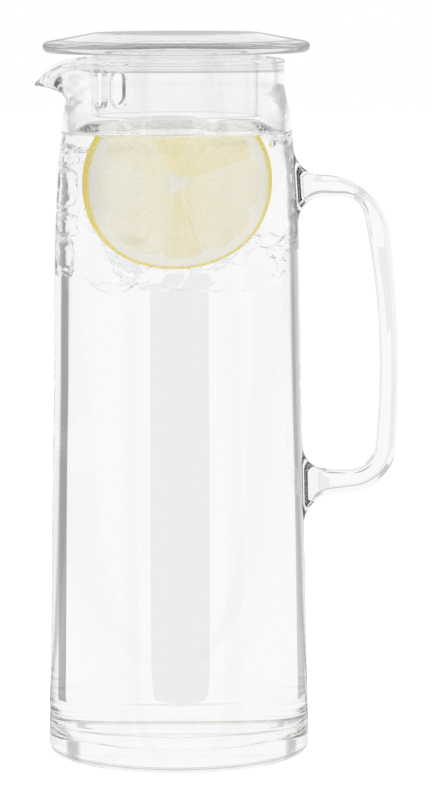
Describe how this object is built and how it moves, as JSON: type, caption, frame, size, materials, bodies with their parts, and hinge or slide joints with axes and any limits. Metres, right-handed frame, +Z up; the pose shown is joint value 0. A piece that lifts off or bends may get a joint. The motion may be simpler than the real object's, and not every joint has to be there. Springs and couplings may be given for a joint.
{
  "type": "iced tea jug",
  "caption": "Tall clear glass jug with a drooping pouring lip, a fused glass strap handle and a lift-off clear plastic lid whose slotted tube strains ice and fruit.",
  "frame": {"origin": "middle of the flat base, on the axis of the glass vessel", "axes": "+Z up along the vessel's axis; the pouring lip points along -X and the handle along +X"},
  "size_m": [0.1388, 0.1018, 0.2768],
  "materials": {
    "glass": "clear polished",
    "clear_plastic": "clear moulded, faint lilac tint",
    "clear_silicone": "clear, slightly milky"
  },
  "bodies": {
    "jug": {"glass_jug": "glass", "glass_handle": "glass"},
    "seal": {"lid_seal": "clear_silicone"},
    "lid": {"lid_cover": "clear_plastic", "strainer_insert": "clear_plastic"}
  },
  "joints": [
    {"name": "lid_lift", "type": "slide", "parent": "jug", "child": "seal", "axis": [0, 0, 1], "range_m": [0, 0.06]},
    {"name": "lid_turn", "type": "hinge", "parent": "seal", "child": "lid", "pos_m": [0, 0, 0.2693], "axis": [0, 0, 1], "continuous": true}
  ]
}
